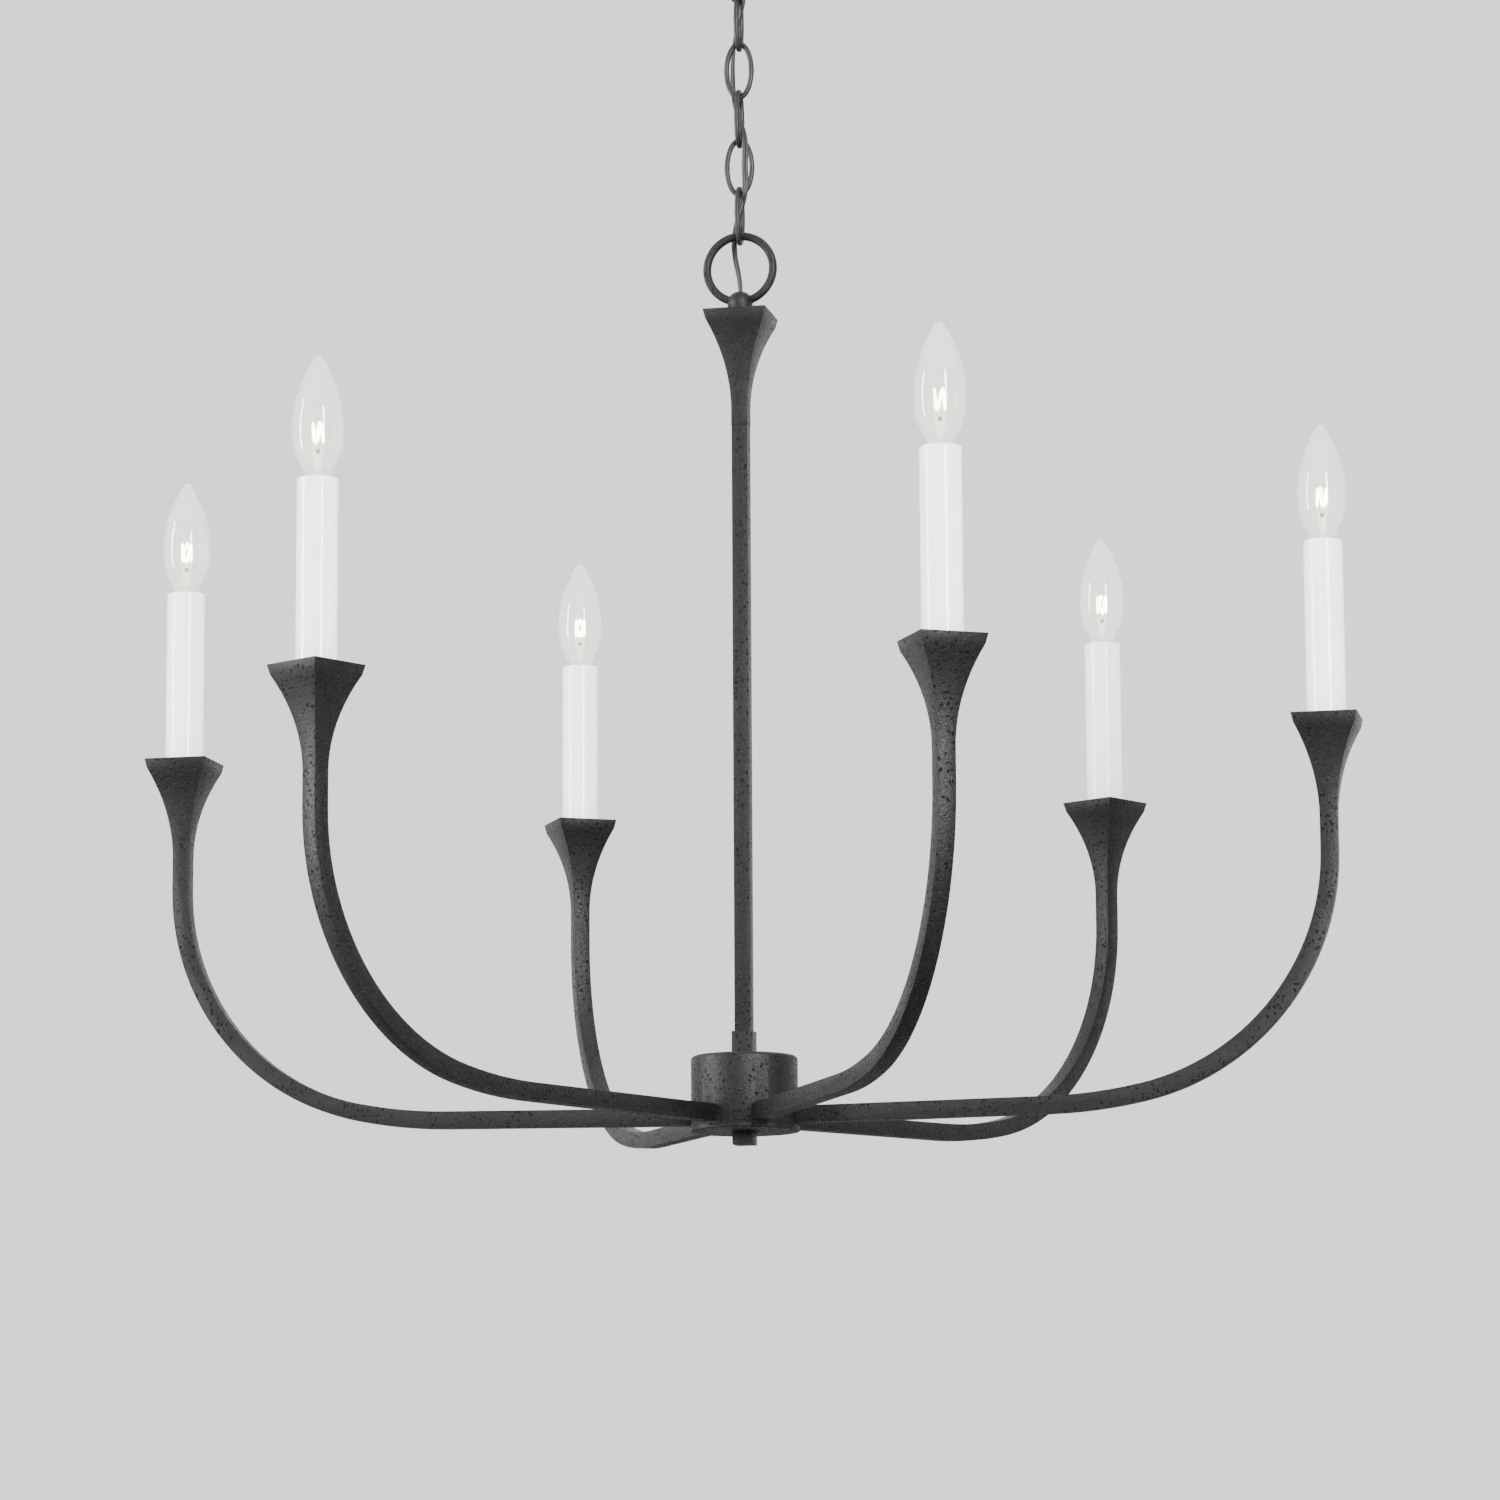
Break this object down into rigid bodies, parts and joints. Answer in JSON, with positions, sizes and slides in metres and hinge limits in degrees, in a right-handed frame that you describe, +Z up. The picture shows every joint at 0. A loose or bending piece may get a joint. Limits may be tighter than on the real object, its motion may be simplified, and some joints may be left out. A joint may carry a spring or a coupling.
{
  "type": "chandelier",
  "caption": "Ring of candle lights on square iron arms from a round hub, hung by a square stem, ring, chain and woven cord from a ceiling canopy.",
  "frame": {"origin": "centre of the mounting strap's top face, in the ceiling plane, on the lamp's hanging axis", "axes": "+Z up along the hanging axis, +X along the first arm and along the mounting strap, right-handed"},
  "size_m": [0.764, 0.6816, 0.8212],
  "materials": {
    "black_iron": "matte textured black over cast iron",
    "dark_chain": "satin dark bronze black",
    "zinc_steel": "zinc plated",
    "green_screw": "green dyed zinc",
    "black_phenolic": "moulded",
    "ivory_sleeve": "smooth gloss",
    "clear_glass": "clear",
    "brass_shell": "rolled",
    "cord_jacket": "smooth jacket",
    "connector_plastic": "moulded"
  },
  "bodies": {
    "ceiling": {"ceiling_strap": "zinc_steel", "ground_screw": "green_screw", "canopy_nipple": "zinc_steel", "nipple_locknuts": "zinc_steel", "canopy_loop": "black_iron"},
    "canopy": {"canopy": "black_iron", "ring_nut": "black_iron"},
    "chain": {"chain_link_1": "dark_chain", "chain_link_2": "dark_chain", "chain_link_3": "dark_chain", "chain_link_4": "dark_chain", "chain_link_5": "dark_chain", "chain_link_6": "dark_chain", "lamp_cord_upper": "cord_jacket", "lamp_cord_lower": "cord_jacket"},
    "fixture": {"hanging_ring": "black_iron", "stem_cap": "black_iron", "stem_tube": "black_iron", "stem_collar": "black_iron", "hub_body": "black_iron", "centre_rod": "zinc_steel", "rod_locknut": "zinc_steel", "arm_locknuts": "zinc_steel", "wire_connectors": "connector_plastic", "socket_leads": "cord_jacket", "socket_posts": "zinc_steel", "arm_1": "black_iron", "arm_2": "black_iron", "arm_3": "black_iron", "arm_4": "black_iron", "arm_5": "black_iron", "arm_6": "black_iron", "lamp_socket_1": "black_phenolic", "lamp_socket_2": "black_phenolic", "lamp_socket_3": "black_phenolic", "lamp_socket_4": "black_phenolic", "lamp_socket_5": "black_phenolic", "lamp_socket_6": "black_phenolic"},
    "cover_plate": {"hub_cover": "black_iron"},
    "finial_knob": {"finial": "black_iron"},
    "sleeve_1": {"candle_sleeve_1": "ivory_sleeve"},
    "bulb_1": {"bulb_glass_1": "clear_glass", "bulb_base_1": "brass_shell"},
    "sleeve_2": {"candle_sleeve_2": "ivory_sleeve"},
    "bulb_2": {"bulb_glass_2": "clear_glass", "bulb_base_2": "brass_shell"},
    "sleeve_3": {"candle_sleeve_3": "ivory_sleeve"},
    "bulb_3": {"bulb_glass_3": "clear_glass", "bulb_base_3": "brass_shell"},
    "sleeve_4": {"candle_sleeve_4": "ivory_sleeve"},
    "bulb_4": {"bulb_glass_4": "clear_glass", "bulb_base_4": "brass_shell"},
    "sleeve_5": {"candle_sleeve_5": "ivory_sleeve"},
    "bulb_5": {"bulb_glass_5": "clear_glass", "bulb_base_5": "brass_shell"},
    "sleeve_6": {"candle_sleeve_6": "ivory_sleeve"},
    "bulb_6": {"bulb_glass_6": "clear_glass", "bulb_base_6": "brass_shell"}
  },
  "joints": [
    {"name": "chain_swing", "type": "hinge", "parent": "ceiling", "child": "chain", "pos_m": [0, 0, -0.0571], "axis": [0, 1, 0], "range_deg": [-30, 30], "deforming": ["lamp_cord_upper"]},
    {"name": "fixture_swing", "type": "hinge", "parent": "chain", "child": "fixture", "pos_m": [0, 0, -0.24195], "axis": [1, 0, 0], "range_deg": [-30, 30], "deforming": ["lamp_cord_lower"]},
    {"name": "canopy_drop", "type": "slide", "parent": "ceiling", "child": "canopy", "axis": [0, 0, -1], "range_m": [0, 0.015]},
    {"name": "cover_drop", "type": "slide", "parent": "fixture", "child": "cover_plate", "axis": [0, 0, -1], "range_m": [0, 0.03]},
    {"name": "finial_drop", "type": "slide", "parent": "cover_plate", "child": "finial_knob", "axis": [0, 0, -1], "range_m": [0, 0.01]},
    {"name": "sleeve_1_lift", "type": "slide", "parent": "fixture", "child": "sleeve_1", "axis": [0, 0, 1], "range_m": [0, 0.006]},
    {"name": "bulb_1_lift", "type": "slide", "parent": "fixture", "child": "bulb_1", "axis": [0, 0, 1], "range_m": [0, 0.032]},
    {"name": "sleeve_2_lift", "type": "slide", "parent": "fixture", "child": "sleeve_2", "axis": [0, 0, 1], "range_m": [0, 0.006]},
    {"name": "bulb_2_lift", "type": "slide", "parent": "fixture", "child": "bulb_2", "axis": [0, 0, 1], "range_m": [0, 0.032]},
    {"name": "sleeve_3_lift", "type": "slide", "parent": "fixture", "child": "sleeve_3", "axis": [0, 0, 1], "range_m": [0, 0.006]},
    {"name": "bulb_3_lift", "type": "slide", "parent": "fixture", "child": "bulb_3", "axis": [0, 0, 1], "range_m": [0, 0.032]},
    {"name": "sleeve_4_lift", "type": "slide", "parent": "fixture", "child": "sleeve_4", "axis": [0, 0, 1], "range_m": [0, 0.006]},
    {"name": "bulb_4_lift", "type": "slide", "parent": "fixture", "child": "bulb_4", "axis": [0, 0, 1], "range_m": [0, 0.032]},
    {"name": "sleeve_5_lift", "type": "slide", "parent": "fixture", "child": "sleeve_5", "axis": [0, 0, 1], "range_m": [0, 0.006]},
    {"name": "bulb_5_lift", "type": "slide", "parent": "fixture", "child": "bulb_5", "axis": [0, 0, 1], "range_m": [0, 0.032]},
    {"name": "sleeve_6_lift", "type": "slide", "parent": "fixture", "child": "sleeve_6", "axis": [0, 0, 1], "range_m": [0, 0.006]},
    {"name": "bulb_6_lift", "type": "slide", "parent": "fixture", "child": "bulb_6", "axis": [0, 0, 1], "range_m": [0, 0.032]}
  ]
}
